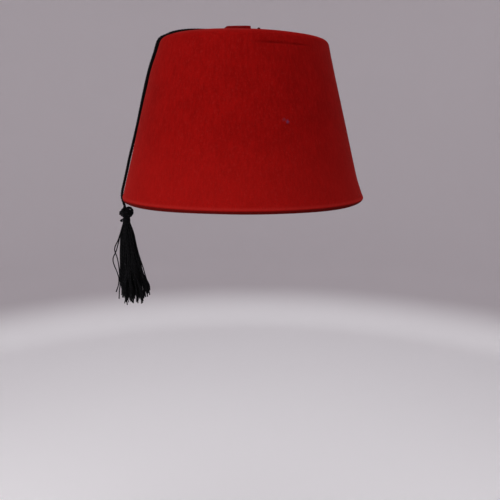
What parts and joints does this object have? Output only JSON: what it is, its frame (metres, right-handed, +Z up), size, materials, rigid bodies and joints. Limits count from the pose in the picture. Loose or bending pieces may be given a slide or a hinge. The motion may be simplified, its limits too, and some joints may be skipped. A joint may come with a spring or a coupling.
{
  "type": "felt fez hat with tassel",
  "caption": "Tapered felt hat, open below, with a soft flared edge, a cord from a tab on its top over the shoulder and a thread tassel hanging below the rim.",
  "frame": {"origin": "middle of the head opening, in the plane of the rim's lower edge", "axes": "+Z up along the crown's axis, -Y towards the side the picture shows, -X towards the side where the cord and the tassel hang"},
  "size_m": [0.1941, 0.187, 0.2135],
  "materials": {
    "felt_red": "matte wool felt, deep red",
    "thread_black": "twisted black thread with a low sheen"
  },
  "bodies": {
    "root": {"crown": "felt_red", "top_tab": "felt_red", "cord_stop_knot": "thread_black", "tassel_cord": "thread_black", "tassel": "thread_black"}
  },
  "joints": []
}
